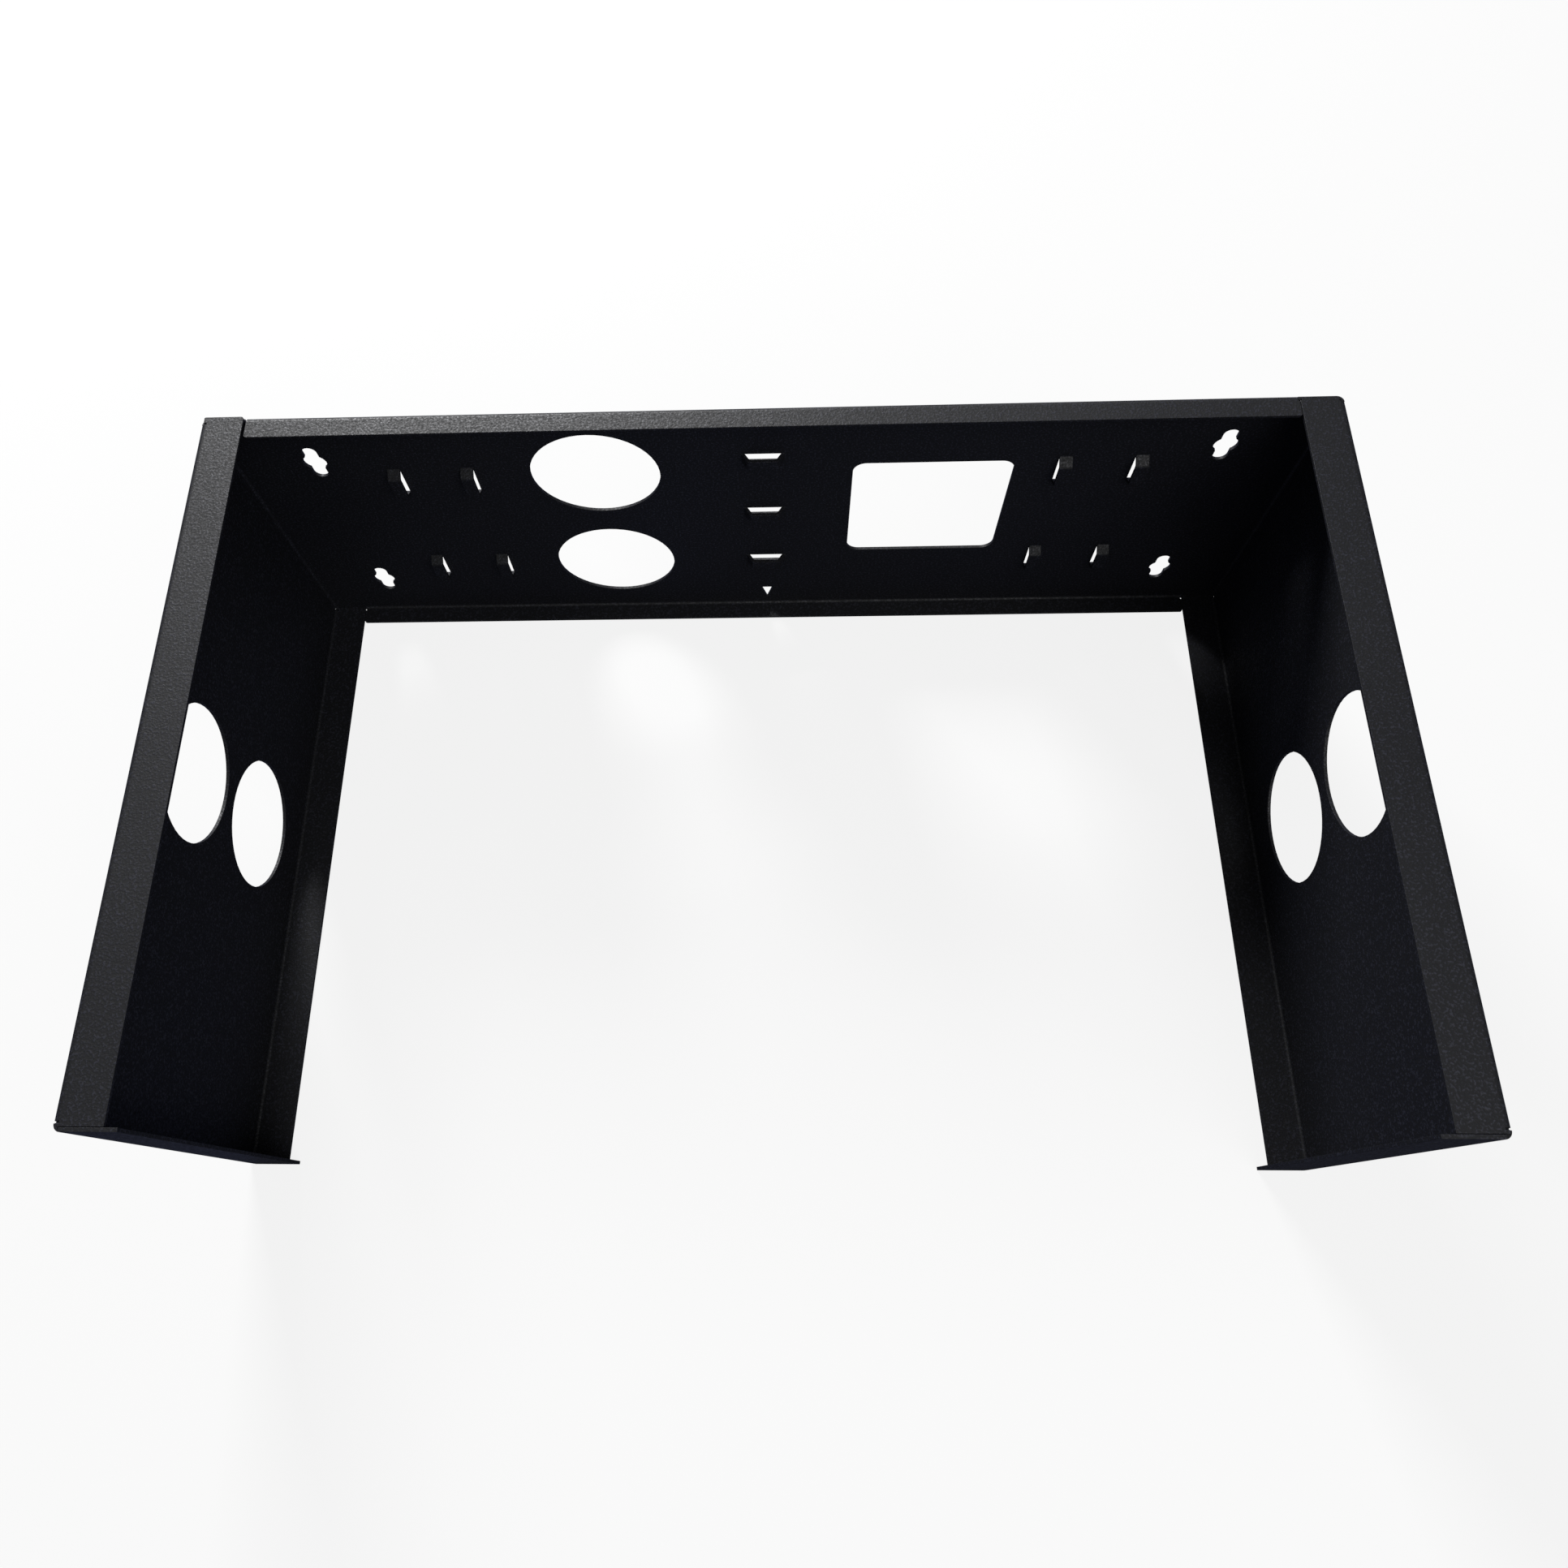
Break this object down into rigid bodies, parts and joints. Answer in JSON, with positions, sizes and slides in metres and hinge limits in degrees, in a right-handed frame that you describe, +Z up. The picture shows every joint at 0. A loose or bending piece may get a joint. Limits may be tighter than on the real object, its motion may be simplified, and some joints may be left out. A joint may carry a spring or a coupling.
{
  "type": "sheet metal chassis",
  "caption": "Folded sheet steel wall box body, open at the front, with inward flanges, conduit holes, a square cable opening, keyholes and cable-tie bridges.",
  "frame": {"origin": "middle of the footprint, level with the outer face of the bottom flanges", "axes": "+X to the right along the back wall, +Y towards the wall that the box hangs on, +Z up"},
  "size_m": [0.508, 0.309, 0.1778],
  "materials": {
    "powder_coat": "black fine-texture powder coat"
  },
  "bodies": {
    "root": {"chassis": "powder_coat"}
  },
  "joints": []
}
